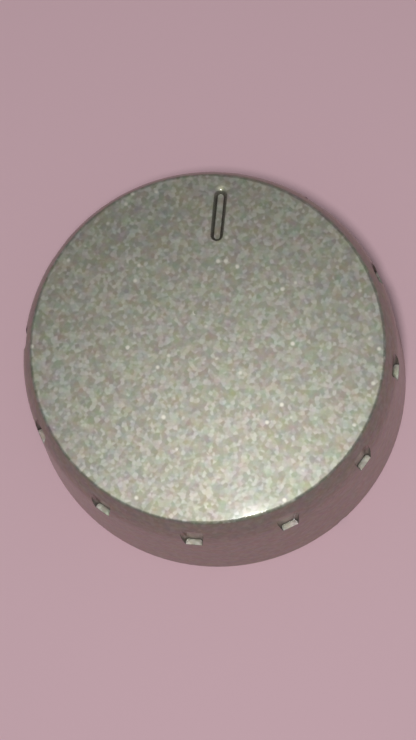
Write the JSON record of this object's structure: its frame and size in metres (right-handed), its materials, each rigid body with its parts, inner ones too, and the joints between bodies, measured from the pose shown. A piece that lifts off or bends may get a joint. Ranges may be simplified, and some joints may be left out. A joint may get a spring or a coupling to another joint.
{
  "type": "oven knob",
  "caption": "Round silver oven knob with a crowned face, a pointer groove, grip notches around its shoulder and a ribbed hub whose sprung D socket fits a control spindle.",
  "frame": {"origin": "centre of the bottom rim, on the plane that the rim stands on", "axes": "+Z along the knob's turning axis towards its face, +Y towards the pointer groove, +X to the right seen from the front"},
  "size_m": [0.042, 0.042, 0.021],
  "materials": {
    "silver_lacquer": "moulded plastic, metallic silver lacquer outside with fine flake under a clear coat",
    "spring_steel": "bright rolled spring steel"
  },
  "bodies": {
    "root": {"knob_body": "silver_lacquer", "spindle_spring": "spring_steel"}
  },
  "joints": []
}
